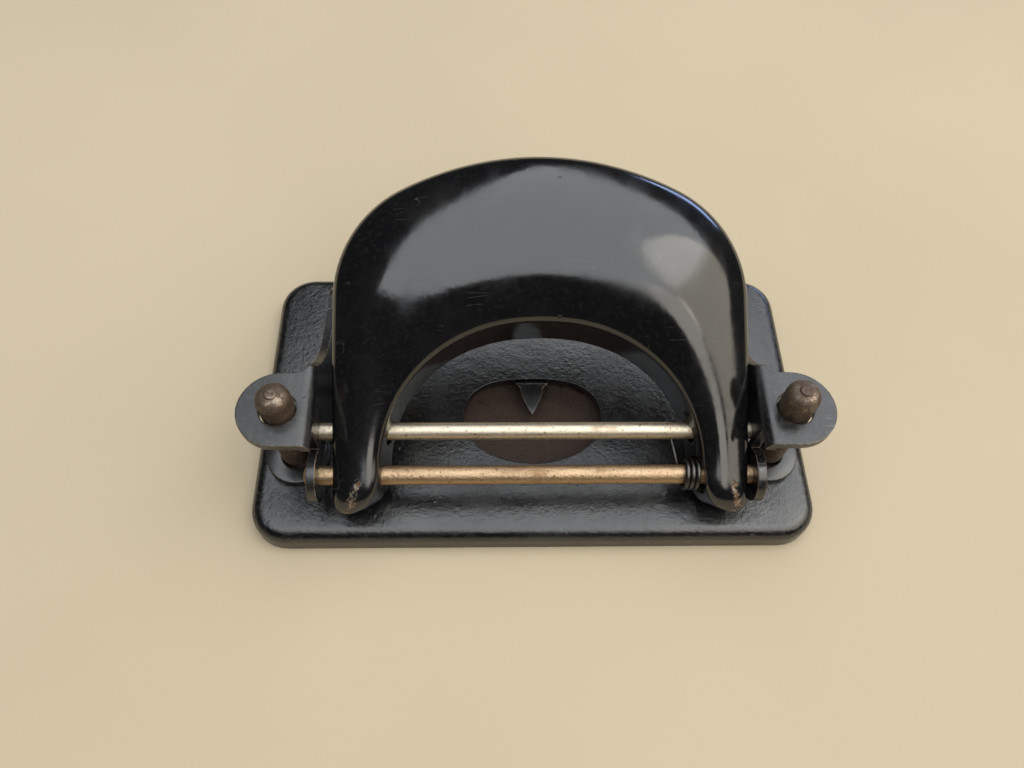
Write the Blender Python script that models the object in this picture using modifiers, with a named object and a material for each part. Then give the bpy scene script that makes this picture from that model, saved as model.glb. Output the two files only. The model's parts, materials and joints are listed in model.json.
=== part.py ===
"""Two-hole desk punch with a horseshoe handle: a standalone Blender 4.5 script.

Metres, +Z up, +X to the user's right, +Y away from the user. The origin is on
the table, under the middle of the whole object. The handle stands 30 degrees
up, at rest, and turns down about the front axle. The drive rod runs through
both punch pins, so rod and pins are one sliding unit.
"""
import math

import bmesh
import bpy
from mathutils import Matrix, Vector

MM = 0.001

# Driving dimensions ---------------------------------------------------------
HOLE_SPACING = 80.0 * MM
PIN_X = HOLE_SPACING / 2
PIN_Y = -12.35 * MM
SHEET = 1.4 * MM
GAP = 0.3 * MM
SMALL_GAP = 0.15 * MM

BASE_HALF_X = 47.45 * MM
BASE_FRONT_Y = PIN_Y - 14.7 * MM
BASE_REAR_Y = PIN_Y + 38.4 * MM
BASE_TOP_Z = 4.6 * MM
BASE_UNDER_Z = 3.2 * MM
BASE_CORNER_R = 6.3 * MM
BASE_EDGE_R = 2.2 * MM

CHIP_HALF_X = 43.0 * MM
CHIP_WALL = 2.8 * MM
GROOVE_HALF_X = 43.9 * MM
GROOVE_LOW_Z = 0.6 * MM
GROOVE_HIGH_Z = 1.7 * MM
SLIDE_LOW_Z = 0.8 * MM
SLIDE_HIGH_Z = 1.5 * MM
LIP_HALF_X = 41.5 * MM

SIGHT_CENTRE_Y = PIN_Y + 7.0 * MM
SIGHT_HALF_X = 12.1 * MM
SIGHT_HALF_Y = 8.4 * MM

AXLE_Y = PIN_Y - 6.4 * MM
AXLE_Z = 11.2 * MM
AXLE_R = 1.55 * MM
AXLE_END_X = 37.3 * MM
ROD_Z = 14.2 * MM
ROD_R = 1.4 * MM
ROD_END_X = 42.4 * MM

PIN_R = 2.7 * MM
PIN_LOW_Z = 7.3 * MM
PIN_TOP_Z = {"left": 26.9 * MM, "right": 27.5 * MM}
PIN_STROKE = 3.36 * MM
DIE_TOP_Z = 5.95 * MM
DIE_R = 5.4 * MM
DIE_SHANK_R = 3.9 * MM

CHEEK_IN_X = 34.75 * MM
CHEEK_OUT_X = CHEEK_IN_X + SHEET
FLANGE_TOP_Z = 22.1 * MM
FLANGE_R = 6.35 * MM
EAR_R = 4.4 * MM
THROAT_TOP_Z = 7.0 * MM
PAPER_STOP_Y = PIN_Y + 12.0 * MM
CHEEK_REAR_Y = PIN_Y + 31.0 * MM
CHEEK_REAR_Z = 12.6 * MM
FOOT_IN_X = 29.6 * MM
FOOT_TOP_Z = BASE_TOP_Z + GAP + SHEET
RIVET_X = 32.2 * MM
RIVET_YS = {"front": PIN_Y + 17.5 * MM, "rear": PIN_Y + 26.5 * MM}

HANDLE_TILT = math.radians(30.0)
HANDLE_SHIFT_X = 0.7 * MM
HANDLE_WALL = 1.3 * MM
HANDLE_HALF_X = 33.45 * MM
HANDLE_APEX = 51.85 * MM
HANDLE_TOE = -5.9 * MM
CROWN_R = 49.3 * MM
SHOULDER_R = 20.0 * MM
BOW_HALF_X = 24.4 * MM
BOW_HALF_Y = 22.2 * MM
BOW_POWER = 2.2
# Section of the handle, as (arm, crown) pairs: lean of the wall, dome slope at the shoulder, rounding
INNER_SIDE = {"run": (1.4 * MM, 2.3 * MM), "slope": (0.53, 0.53), "reach": (0.9 * MM, 0.9 * MM)}
OUTER_SIDE = {"run": (0.3 * MM, 0.6 * MM), "slope": (0.70, 0.84), "reach": (0.9 * MM, 1.6 * MM)}
PEAK_SHARE = (0.45, 0.42)
RAY_CENTRE = 8.0 * MM
RIM_LEVEL = -3.0 * MM
DOME_TOP = 8.0 * MM
FOOT_DOME = 3.8 * MM
TOE_DROP = 2.2 * MM

WIRE_R = 0.4 * MM
COIL_R = 2.2 * MM
COIL_PITCH = 0.86 * MM
COIL_START_X = 26.35 * MM
NOTCH_R = 3.1 * MM

ROUND = 28
CUT = 2.0 * MM


# Scene and object helpers ---------------------------------------------------
def clear_scene():
    for item in list(bpy.data.objects):
        bpy.data.objects.remove(item, do_unlink=True)


def new_collection(name):
    group = bpy.data.collections.new(name)
    bpy.context.scene.collection.children.link(group)
    return group


def make_material(name, colour, roughness, metallic):
    material = bpy.data.materials.new(name)
    material.use_nodes = True
    shader = material.node_tree.nodes["Principled BSDF"]
    shader.inputs["Base Color"].default_value = (*colour, 1.0)
    shader.inputs["Roughness"].default_value = roughness
    shader.inputs["Metallic"].default_value = metallic
    return material


def object_from_bmesh(name, shape, place=None):
    """Link a closed bmesh as an object whose faces point out."""
    bmesh.ops.recalc_face_normals(shape, faces=shape.faces)
    mesh = bpy.data.meshes.new(name)
    shape.to_mesh(mesh)
    shape.free()
    item = bpy.data.objects.new(name, mesh)
    PUNCH.objects.link(item)
    if place is not None:
        item.matrix_world = place
    return item


def curve_to_mesh(name, curve, place):
    """Turn a curve into a welded mesh object that keeps the curve's place."""
    source = bpy.data.objects.new(name + "_curve", curve)
    PUNCH.objects.link(source)
    source.matrix_world = place
    graph = bpy.context.evaluated_depsgraph_get()
    mesh = bpy.data.meshes.new_from_object(source.evaluated_get(graph))
    bpy.data.objects.remove(source, do_unlink=True)
    shape = bmesh.new()
    shape.from_mesh(mesh)
    bpy.data.meshes.remove(mesh)
    bmesh.ops.remove_doubles(shape, verts=shape.verts, dist=0.002 * MM)
    bmesh.ops.dissolve_limit(
        shape, angle_limit=math.radians(0.5), verts=shape.verts, edges=shape.edges
    )
    return object_from_bmesh(name, shape, place)


def flat_solid(name, outline, low, high, frame=Matrix.Identity(4)):
    """Extrude a closed outline of (x, y) points from low to high along the frame's Z."""
    curve = bpy.data.curves.new(name, "CURVE")
    curve.dimensions = "2D"
    curve.fill_mode = "BOTH"
    curve.extrude = (high - low) / 2
    line = curve.splines.new("POLY")
    line.points.add(len(outline) - 1)
    for point, (x, y) in zip(line.points, outline):
        point.co = (x, y, 0.0, 1.0)
    line.use_cyclic_u = True
    lift = Matrix.Translation((0.0, 0.0, (low + high) / 2))
    return curve_to_mesh(name, curve, frame @ lift)


def wire_solid(name, points, radius):
    """Sweep a round wire along a path of points."""
    curve = bpy.data.curves.new(name, "CURVE")
    curve.dimensions = "3D"
    curve.bevel_depth = radius
    curve.bevel_resolution = 2
    curve.use_fill_caps = True
    line = curve.splines.new("POLY")
    line.points.add(len(points) - 1)
    for point, place in zip(line.points, points):
        point.co = (*place, 1.0)
    return curve_to_mesh(name, curve, Matrix.Identity(4))


def box_solid(name, low, high):
    shape = bmesh.new()
    bmesh.ops.create_cube(shape, size=1.0)
    low, high = Vector(low), Vector(high)
    bmesh.ops.scale(shape, vec=high - low, verts=shape.verts)
    bmesh.ops.translate(shape, vec=(low + high) / 2, verts=shape.verts)
    return object_from_bmesh(name, shape)


def cylinder_x(name, centre, radius, low_x, high_x, sides=ROUND):
    """A cylinder along X; centre gives its Y and Z."""
    shape = bmesh.new()
    bmesh.ops.create_cone(
        shape, cap_ends=True, segments=sides, radius1=radius, radius2=radius, depth=high_x - low_x
    )
    bmesh.ops.rotate(shape, verts=shape.verts, matrix=Matrix.Rotation(math.pi / 2, 3, "Y"))
    place = Matrix.Translation(((low_x + high_x) / 2, centre[0], centre[1]))
    return object_from_bmesh(name, shape, place)


def cylinder_z(name, centre, radius, low_z, high_z, sides=ROUND):
    """A cylinder along Z; centre gives its X and Y."""
    shape = bmesh.new()
    bmesh.ops.create_cone(
        shape, cap_ends=True, segments=sides, radius1=radius, radius2=radius, depth=high_z - low_z
    )
    place = Matrix.Translation((centre[0], centre[1], (low_z + high_z) / 2))
    return object_from_bmesh(name, shape, place)


def turned_solid(name, profile, place, steps=ROUND):
    """Turn a profile of (radius, height) points, top first, about the place's Z axis."""
    mesh = bpy.data.meshes.new(name)
    points = [(radius, 0.0, height) for radius, height in profile]
    mesh.from_pydata(points, [(i, i + 1) for i in range(len(points) - 1)], [])
    item = bpy.data.objects.new(name, mesh)
    PUNCH.objects.link(item)
    item.matrix_world = place
    screw = item.modifiers.new("turn", "SCREW")
    screw.steps = screw.render_steps = steps
    screw.use_merge_vertices = True
    screw.merge_threshold = 0.002 * MM
    return item


def combine(item, other, operation="DIFFERENCE"):
    """Boolean another object into an item and keep the other as a hidden guide."""
    for group in list(other.users_collection):
        group.objects.unlink(other)
    CUTTERS.objects.link(other)
    other.hide_render = True
    other.display_type = "WIRE"
    change = item.modifiers.new(other.name, "BOOLEAN")
    change.operation = operation
    change.solver = "EXACT"
    change.object = other


def round_edges(item, width, segments, wanted):
    """Bevel the mesh edges whose two end points both satisfy a test."""
    shape = bmesh.new()
    shape.from_mesh(item.data)
    place = item.matrix_world
    edges = [e for e in shape.edges if all(wanted(place @ v.co) for v in e.verts)]
    bmesh.ops.bevel(
        shape, geom=edges, offset=width, segments=segments, profile=0.5, affect="EDGES", clamp_overlap=True
    )
    shape.to_mesh(item.data)
    shape.free()


def finish(item, material, smooth_angle=35.0):
    item.data.materials.clear()
    item.data.materials.append(material)
    item.data.shade_smooth()
    item.data.set_sharp_from_angle(angle=math.radians(smooth_angle))
    return item


def hinge_empty(name, place):
    """An empty on a joint's axis, which the joint's moving pieces hang on."""
    empty = bpy.data.objects.new(name, None)
    empty.empty_display_size = 5 * MM
    PUNCH.objects.link(empty)
    empty.matrix_world = place
    bpy.context.view_layer.update()
    return empty


def hang_on(empty, *pieces):
    bpy.context.view_layer.update()
    for piece in pieces:
        place = piece.matrix_world.copy()
        piece.parent = empty
        piece.matrix_parent_inverse = empty.matrix_world.inverted()
        piece.matrix_world = place


# Outline helpers ------------------------------------------------------------
def arc(centre, radius, start, end, count):
    """Points on an arc; angles in degrees from +first axis to +second axis."""
    points = []
    for step in range(count + 1):
        angle = math.radians(start + (end - start) * step / count)
        points.append((centre[0] + radius * math.cos(angle), centre[1] + radius * math.sin(angle)))
    return points


def rounded_box(low_x, high_x, low_y, high_y, radius, count=8):
    corners = [
        ((high_x - radius, high_y - radius), 0),
        ((low_x + radius, high_y - radius), 90),
        ((low_x + radius, low_y + radius), 180),
        ((high_x - radius, low_y + radius), 270),
    ]
    return [p for centre, turn in corners for p in arc(centre, radius, turn, turn + 90, count)]


def capsule(first, second, radius, count=10):
    """A slot outline round two centres that lie along one line."""
    turn = math.degrees(math.atan2(second[1] - first[1], second[0] - first[0]))
    return arc(second, radius, turn - 90, turn + 90, count) + arc(first, radius, turn + 90, turn + 270, count)


def frame_along_x(x=0.0):
    """A frame whose X and Y are the world's Y and Z, and whose Z is the world's X."""
    axes = Matrix(((0, 0, 1, x), (1, 0, 0, 0), (0, 1, 0, 0), (0, 0, 0, 1)))
    return axes


def frame_along_y():
    """A frame whose X and Y are the world's X and Z, and whose Z is the world's -Y."""
    return Matrix(((1, 0, 0, 0), (0, 0, -1, 0), (0, 1, 0, 0), (0, 0, 0, 1)))


def smoothstep(value):
    value = min(max(value, 0.0), 1.0)
    return value * value * (3.0 - 2.0 * value)


def blend_value(first, second, share):
    return first + (second - first) * share


# Base and chip slide --------------------------------------------------------
def sight_outline(count=48):
    """The oval sight opening: an ellipse in front and a squarer curve behind."""
    points = []
    for step in range(count):
        angle = 2 * math.pi * step / count
        side, rear = math.cos(angle), math.sin(angle)
        power = 2 / 2.7 if rear > 0 else 1.0
        x = SIGHT_HALF_X * math.copysign(abs(side) ** power, side)
        y = SIGHT_HALF_Y * math.copysign(abs(rear) ** power, rear)
        points.append((x, SIGHT_CENTRE_Y + y))
    return points


def make_base(material):
    outline = rounded_box(-BASE_HALF_X, BASE_HALF_X, BASE_FRONT_Y, BASE_REAR_Y, BASE_CORNER_R)
    base = flat_solid("base_plate", outline, 0.0, BASE_TOP_Z)
    round_edges(base, BASE_EDGE_R, 5, lambda p: p.z > BASE_TOP_Z - 0.1 * MM)
    front, rear = BASE_FRONT_Y + CHIP_WALL, BASE_REAR_Y - CHIP_WALL
    chips = rounded_box(-CHIP_HALF_X, CHIP_HALF_X, front, rear, 3 * MM, 4)
    combine(base, flat_solid("chip_space_cutter", chips, GROOVE_LOW_Z + GAP, BASE_UNDER_Z))
    groove = rounded_box(-GROOVE_HALF_X, GROOVE_HALF_X, front - 0.8 * MM, BASE_REAR_Y + CUT, 1.5 * MM, 4)
    combine(base, flat_solid("groove_cutter", groove, GROOVE_LOW_Z, GROOVE_HIGH_Z))
    mouth = rounded_box(-LIP_HALF_X, LIP_HALF_X, front + 1 * MM, rear - 1 * MM, 3 * MM, 4)
    combine(base, flat_solid("mouth_cutter", mouth, -CUT, GROOVE_LOW_Z + GAP))
    combine(base, flat_solid("sight_cutter", sight_outline(), CUT, BASE_TOP_Z + CUT))
    for side, sign in SIDES.items():
        spot = (sign * PIN_X, PIN_Y)
        combine(base, cylinder_z(side + "_die_cutter", spot, DIE_SHANK_R + GAP, CUT, BASE_TOP_Z + CUT))
        for end, y in RIVET_YS.items():
            name = f"{side}_{end}_rivet_cutter"
            combine(base, cylinder_z(name, (sign * RIVET_X, y), 1.3 * MM, CUT, BASE_TOP_Z + CUT, 16))
    for name, x, y in (("pointer", 0.0, POINTER_RIVET_Y), ("detent", DETENT_X, DETENT_RIVET_Y)):
        combine(base, cylinder_z(name + "_rivet_cutter", (x, y), 1.0 * MM, CUT, BASE_TOP_Z + CUT, 16))
    return finish(base, material)


def make_chip_slide(material):
    half = GROOVE_HALF_X - GAP
    front = BASE_FRONT_Y + CHIP_WALL - 0.8 * MM + GAP
    outline = rounded_box(-half, half, front, BASE_REAR_Y - GAP, 2.6 * MM, 5)
    plate = flat_solid("chip_slide", outline, SLIDE_LOW_Z, SLIDE_HIGH_Z)
    tab_half = 9.0 * MM
    neck = box_solid(
        "tab_neck", (-tab_half, BASE_REAR_Y - CUT, SLIDE_LOW_Z + 0.02 * MM),
        (tab_half, BASE_REAR_Y + 0.85 * MM, SLIDE_HIGH_Z - 0.02 * MM),
    )
    tab = box_solid(
        "tab_lip", (-tab_half, BASE_REAR_Y + 0.3 * MM, SLIDE_LOW_Z - 0.3 * MM),
        (tab_half, BASE_REAR_Y + 0.9 * MM, BASE_UNDER_Z),
    )
    combine(plate, neck, "UNION")
    combine(plate, tab, "UNION")
    return finish(plate, material)


# Centre pointer and the detent that keeps the chip slide in ------------------
POINTER_RIVET_Y = PIN_Y + 27.8 * MM
DETENT_X = 18.0 * MM
DETENT_RIVET_Y = PIN_Y + 32.0 * MM
STRIP = 0.6 * MM


def strip_solid(name, stations, thickness):
    """A sheet strip from (half width, y, z) stations; its thickness grows downwards."""
    shape = bmesh.new()
    rows = [[shape.verts.new((side * half, y, z)) for side in (-1, 1)] for half, y, z in stations]
    for first, second in zip(rows, rows[1:]):
        shape.faces.new((first[0], first[1], second[1], second[0]))
    bmesh.ops.recalc_face_normals(shape, faces=shape.faces)
    if sum(face.normal.z * face.calc_area() for face in shape.faces) < 0:
        bmesh.ops.reverse_faces(shape, faces=shape.faces)
    mesh = bpy.data.meshes.new(name)
    shape.to_mesh(mesh)
    shape.free()
    item = bpy.data.objects.new(name, mesh)
    PUNCH.objects.link(item)
    sheet = item.modifiers.new("sheet", "SOLIDIFY")
    sheet.thickness = thickness
    sheet.offset = -1.0
    sheet.use_even_offset = True
    return item


def make_pointer(material):
    """A tongue under the base top that rises behind the opening and points to its middle."""
    tail_z = BASE_UNDER_Z - GAP
    edge_y = SIGHT_CENTRE_Y + SIGHT_HALF_Y
    stations = [
        (2.6 * MM, POINTER_RIVET_Y + 2.4 * MM, tail_z),
        (2.6 * MM, edge_y - 0.3 * MM, tail_z),
        (3.0 * MM, edge_y - 0.85 * MM, BASE_TOP_Z + 0.1 * MM),
        (2.9 * MM, edge_y - 1.2 * MM, BASE_TOP_Z + 0.35 * MM),
        (2.05 * MM, edge_y - 2.0 * MM, BASE_TOP_Z + 0.3 * MM),
        (1.75 * MM, edge_y - 3.9 * MM, BASE_TOP_Z + 0.1 * MM),
        (0.12 * MM, edge_y - 7.0 * MM, BASE_TOP_Z - 0.45 * MM),
    ]
    pointer = strip_solid("centre_pointer", stations, STRIP)
    hole = cylinder_z("pointer_hole_cutter", (0, POINTER_RIVET_Y), 1.0 * MM, 0.0, BASE_TOP_Z, 16)
    combine(pointer, hole)
    return finish(pointer, material)


def make_detent(material):
    """A leaf riveted under the base top whose free end presses the chip slide."""
    high = BASE_UNDER_Z - GAP
    stations = [
        (2.5 * MM, DETENT_RIVET_Y + 1.9 * MM, high),
        (2.5 * MM, DETENT_RIVET_Y - 1.9 * MM, high),
        (2.0 * MM, DETENT_RIVET_Y - 3.4 * MM, SLIDE_HIGH_Z + 0.75 * MM),
        (2.0 * MM, DETENT_RIVET_Y - 4.2 * MM, SLIDE_HIGH_Z + 0.95 * MM),
    ]
    leaf = strip_solid("slide_detent", stations, 0.4 * MM)
    leaf.location.x = DETENT_X
    combine(leaf, cylinder_z("detent_hole_cutter", (DETENT_X, DETENT_RIVET_Y), 1.0 * MM, 0.0, BASE_TOP_Z, 16))
    return finish(leaf, material)


def make_rivet(name, spot, seat_z, tail_z, shank_r, head_r, head_h, material):
    """A rivet: a domed head on the seat, a shank, and a flat closed tail below."""
    dome = [(head_r * math.cos(a), seat_z + head_h * math.sin(a)) for a in
            (math.pi / 2 * step / 3 for step in range(3, -1, -1))]
    tail_r = shank_r + 0.6 * MM
    profile = [(0.0, seat_z + head_h)] + dome[1:] + [
        (shank_r, seat_z), (shank_r, tail_z), (tail_r, tail_z), (tail_r, tail_z - 0.35 * MM),
        (0.0, tail_z - 0.35 * MM),
    ]
    place = Matrix.Translation((spot[0], spot[1], 0.0))
    return finish(turned_solid(name, profile, place, 16), material)


# Brackets, dies and pins ----------------------------------------------------
def mirror_x(points, sign):
    return [(sign * x, y) for x, y in points]


def cheek_outline():
    """The cheek seen from the side, as (y, z) points: ear, throat, foot and swept rear edge."""
    margin = 0.5 * MM
    ear = (AXLE_Y, AXLE_Z)
    front_y = PIN_Y - 3.0 * MM
    low = math.degrees(math.asin((THROAT_TOP_Z - AXLE_Z) / EAR_R))
    high = math.degrees(math.acos((front_y - AXLE_Y) / EAR_R))
    points = arc(ear, EAR_R, high, 360 + low, 28)
    stop_r = 0.9 * MM
    points += arc((PAPER_STOP_Y - stop_r, THROAT_TOP_Z - stop_r), stop_r, 90, 0, 5)
    foot_z = BASE_TOP_Z + GAP - margin
    points += [(PAPER_STOP_Y, foot_z), (CHEEK_REAR_Y, foot_z)]
    rise = FLANGE_TOP_Z - CHEEK_REAR_Z
    start_y = PIN_Y + 7.6 * MM
    decay = 6.5 * MM
    corner_r = 3.0 * MM
    far_y = CHEEK_REAR_Y - corner_r
    far_z = CHEEK_REAR_Z + rise * math.exp(-(far_y - start_y) / decay)
    points += arc((far_y, far_z - corner_r), corner_r, 0, 84, 6)
    last_y = start_y - decay * math.log((rise + margin) / rise)
    for step in range(14):
        y = blend_value(far_y, last_y, (step / 13) ** 0.75)
        points.append((y, CHEEK_REAR_Z + rise * math.exp(-(y - start_y) / decay)))
    points.append((front_y, FLANGE_TOP_Z + margin))
    return points


def sheet_profile():
    """The bent sheet seen from the front, as (x, z) points: foot, cheek and flange."""
    low_z, high_z = BASE_TOP_Z + GAP, FLANGE_TOP_Z
    bend = SHEET + 0.2 * MM
    out, inner = CHEEK_OUT_X, CHEEK_IN_X
    points = [(FOOT_IN_X - CUT, low_z)]
    points += arc((out - bend, low_z + bend), bend, -90, 0, 6)
    beyond = PIN_X + FLANGE_R + CUT
    points += [(out, high_z - SHEET), (beyond, high_z - SHEET), (beyond, high_z)]
    points += arc((inner + bend, high_z - bend), bend, 90, 180, 6)
    points += [(inner, FOOT_TOP_Z), (FOOT_IN_X - CUT, FOOT_TOP_Z)]
    return points


def make_bracket(side, sign, material):
    """One bent sheet: the profile swept front to rear, trimmed by the cheek, flange and foot shapes."""
    name = side + "_bracket"
    margin = 0.5 * MM
    profile = mirror_x(sheet_profile(), sign)
    bracket = flat_solid(name, profile, -CHEEK_REAR_Y - CUT, -AXLE_Y + EAR_R + CUT, frame_along_y())
    inner, outer = sorted((sign * (CHEEK_IN_X - margin), sign * (CHEEK_OUT_X + margin)))
    trim = flat_solid(name + "_cheek_trim", cheek_outline(), inner, outer, frame_along_x())
    flange = [(CHEEK_IN_X - 0.4 * MM, PIN_Y - FLANGE_R), (PIN_X, PIN_Y - FLANGE_R)]
    flange += arc((PIN_X, PIN_Y), FLANGE_R, -80, 80, 20)
    flange += [(PIN_X, PIN_Y + FLANGE_R), (38.2 * MM, PIN_Y + 6.4 * MM), (37.2 * MM, PIN_Y + 6.7 * MM)]
    flange += [(36.5 * MM, PIN_Y + 7.2 * MM), (CHEEK_IN_X - 0.4 * MM, PIN_Y + 7.2 * MM)]
    low, high = FLANGE_TOP_Z - SHEET - margin, FLANGE_TOP_Z + 0.4 * MM
    combine(trim, flat_solid(name + "_flange_trim", mirror_x(flange, sign), low, high), "UNION")
    foot_front, foot_rear = PAPER_STOP_Y + 1.2 * MM, CHEEK_REAR_Y - 1 * MM
    foot = rounded_box(FOOT_IN_X, CHEEK_OUT_X - 0.6 * MM, foot_front, foot_rear, 2 * MM, 5)
    low, high = BASE_TOP_Z + GAP - 0.4 * MM, FOOT_TOP_Z + margin
    combine(trim, flat_solid(name + "_foot_trim", mirror_x(foot, sign), low, high), "UNION")
    combine(bracket, trim, "INTERSECT")
    ends = sorted((sign * (CHEEK_IN_X - CUT), sign * (CHEEK_OUT_X + CUT)))
    combine(bracket, cylinder_x(name + "_axle_cutter", (AXLE_Y, AXLE_Z), AXLE_R + SMALL_GAP, *ends))
    low_rod, high_rod = (PIN_Y, ROD_Z - PIN_STROKE - 0.2 * MM), (PIN_Y, ROD_Z + 0.1 * MM)
    slot = capsule(low_rod, high_rod, ROD_R + 0.2 * MM)
    combine(bracket, flat_solid(name + "_rod_slot_cutter", slot, *ends, frame_along_x()))
    spot = (sign * PIN_X, PIN_Y)
    bore_r, bore_low_z = PIN_R + 0.25 * MM, ROD_Z + CUT
    combine(bracket, cylinder_z(name + "_pin_cutter", spot, bore_r, bore_low_z, FLANGE_TOP_Z + CUT))
    for end, y in RIVET_YS.items():
        hole = cylinder_z(f"{name}_{end}_hole_cutter", (sign * RIVET_X, y), 1.3 * MM, 2 * CUT, 4 * CUT, 16)
        combine(bracket, hole)
    return finish(bracket, material)


def make_die(side, sign, material):
    """A die bush: a round head on the base top and a shank through it, relieved below."""
    bore, relief = PIN_R + SMALL_GAP, PIN_R + 0.4 * MM
    head_low = BASE_TOP_Z + GAP
    profile = [
        (bore, DIE_TOP_Z - 1.6 * MM), (bore, DIE_TOP_Z), (DIE_R - 0.35 * MM, DIE_TOP_Z),
        (DIE_R - 0.1 * MM, DIE_TOP_Z - 0.1 * MM), (DIE_R, DIE_TOP_Z - 0.35 * MM), (DIE_R, head_low),
        (DIE_SHANK_R, head_low), (DIE_SHANK_R, BASE_UNDER_Z), (relief, BASE_UNDER_Z),
        (bore, DIE_TOP_Z - 1.6 * MM),
    ]
    place = Matrix.Translation((sign * PIN_X, PIN_Y, 0.0))
    return finish(turned_solid(side + "_die_bush", profile, place, 32), material)


def make_pin(side, sign, material):
    """A punch pin: hollow-ground lower end, cross hole for the rod, and a turned top with a nib."""
    top = PIN_TOP_Z[side]
    nib_r, nib_h = 0.95 * MM, 0.3 * MM
    profile = [
        (0.0, top), (nib_r - 0.15 * MM, top), (nib_r, top - 0.12 * MM), (nib_r + 0.05 * MM, top - nib_h),
        (1.7 * MM, top - 0.45 * MM), (2.25 * MM, top - 0.8 * MM), (2.55 * MM, top - 1.3 * MM),
        (PIN_R, top - 2.0 * MM), (PIN_R, PIN_LOW_Z), (0.0, PIN_LOW_Z + 0.8 * MM),
    ]
    pin = turned_solid(side + "_punch_pin", profile, Matrix.Translation((sign * PIN_X, PIN_Y, 0.0)))
    ends = (sign * PIN_X - PIN_R - CUT, sign * PIN_X + PIN_R + CUT)
    combine(pin, cylinder_x(side + "_cross_cutter", (PIN_Y, ROD_Z), ROD_R + SMALL_GAP, *ends))
    return finish(pin, material)


def lying_profile(half_length, radius, head_r, head_length):
    """A shaft's profile about its own axis, with rounded ends that may be swollen into heads."""
    profile = [(0.0, half_length), (head_r * 0.55, half_length - 0.08 * head_length)]
    profile += [(head_r * 0.88, half_length - 0.35 * head_length), (head_r, half_length - 0.7 * head_length)]
    profile += [(head_r, half_length - head_length), (radius, half_length - head_length)]
    return profile + [(r, -z) for r, z in reversed(profile)]


def along_x(y, z):
    return Matrix.Translation((0.0, y, z)) @ Matrix.Rotation(math.pi / 2, 4, "Y")


def make_axle(material):
    """The front axle, with rounded rivet heads outside the ears and a cross hole for the spring's end."""
    profile = lying_profile(AXLE_END_X, AXLE_R, AXLE_R + 0.2 * MM, AXLE_END_X - CHEEK_OUT_X - SMALL_GAP)
    axle = turned_solid("front_axle", profile, along_x(AXLE_Y, AXLE_Z))
    combine(axle, cylinder_z("spring_end_cutter", (COIL_START_X, AXLE_Y), WIRE_R + 0.2 * MM,
                             AXLE_Z - CUT, AXLE_Z, 16))
    return finish(axle, material)


def make_rod(material):
    rod = turned_solid("drive_rod", lying_profile(ROD_END_X, ROD_R, ROD_R, 0.5 * MM), along_x(PIN_Y, ROD_Z))
    return finish(rod, material)


# Handle ---------------------------------------------------------------------
def ray_circle(angle, centre, radius):
    """Where a ray from the ray centre leaves a circle; angle is from the handle's length axis."""
    way = Vector((math.sin(angle), math.cos(angle)))
    offset = Vector((0.0, RAY_CENTRE)) - Vector(centre)
    half = way.dot(offset)
    reach = -half + math.sqrt(half * half - offset.length_squared + radius * radius)
    return Vector((0.0, RAY_CENTRE)) + way * reach


def outer_on_ray(angle, inset):
    """The handle's outer outline: crown arc, shoulder arc, then a straight side."""
    crown = (0.0, HANDLE_APEX - CROWN_R)
    across = HANDLE_HALF_X - SHOULDER_R
    shoulder = (across, crown[1] + math.sqrt((CROWN_R - SHOULDER_R) ** 2 - across**2))
    on_crown = ray_circle(angle, crown, CROWN_R - inset)
    turn = math.atan2(across, shoulder[1] - crown[1])
    if math.atan2(on_crown.x, on_crown.y - crown[1]) < turn:
        return on_crown
    side_x = HANDLE_HALF_X - inset
    side_y = RAY_CENTRE + side_x / math.tan(angle)
    if side_y < shoulder[1]:
        return Vector((side_x, side_y))
    return ray_circle(angle, shoulder, SHOULDER_R - inset)


def bow_x(along, inset):
    """Half the bow's width between the rims at a place along the handle."""
    share = 1.0 - (along / (BOW_HALF_Y + inset)) ** BOW_POWER
    return (BOW_HALF_X + inset) * share ** (1.0 / BOW_POWER)


def bow_on_ray(angle, inset):
    """Where a ray from the ray centre meets the bow's rim, by halving."""
    way = Vector((math.sin(angle), math.cos(angle)))
    near, far = 0.0, HANDLE_APEX
    for _ in range(40):
        reach = (near + far) / 2
        place = Vector((0.0, RAY_CENTRE)) + way * reach
        if place.y < BOW_HALF_Y + inset and place.x < bow_x(place.y, inset):
            near = reach
        else:
            far = reach
    return place


def arm_edges(along, inset):
    """Inner and outer x of a straight arm at a place along the handle."""
    foot_x, foot_y, run = 5.05 * MM, 6.9 * MM, 1.0 * MM
    if along > run:
        inner = bow_x(along, inset)
    else:
        share = min((run - along) / (foot_y - inset), 1.0)
        inner = bow_x(run, inset) + foot_x - (foot_x - inset) * math.sqrt(1.0 - share * share)
    corner = 1.2 * MM
    below = max((HANDLE_TOE + inset + corner) - along, 0.0)
    outer = HANDLE_HALF_X - inset - corner + math.sqrt(max(corner**2 - below**2, 0.0))
    return inner, outer


def dome_height(along):
    """Height of the handle's top over the axle plane at a place along it."""
    if along < 0:
        return FOOT_DOME - TOE_DROP * (along / HANDLE_TOE) ** 3
    return blend_value(FOOT_DOME, DOME_TOP, smoothstep(along / (38.0 * MM)))


def side_profile(span, top, run, slope, reach, count):
    """(distance from the rim, level) up a leaning wall, round its shoulder and over to the peak."""
    run = min(run, 0.35 * span)
    width = span - run
    reach = min(reach, 0.4 * width)
    last = 1.0 - reach / width

    def on_dome(share):
        return Vector((span - width * share, top - width * slope / 2 * share * share))

    rim, end = Vector((0.0, RIM_LEVEL)), on_dome(last)
    crease = Vector((run, end.y - slope * last * reach))
    start = crease + (rim - crease).normalized() * reach
    points = [rim]
    for step in range(count // 2 + 1):
        share = step / (count // 2)
        points.append(start.lerp(crease, share).lerp(crease.lerp(end, share), share))
    return points + [on_dome(last * (1.0 - step / count)) for step in range(1, count)]


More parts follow.
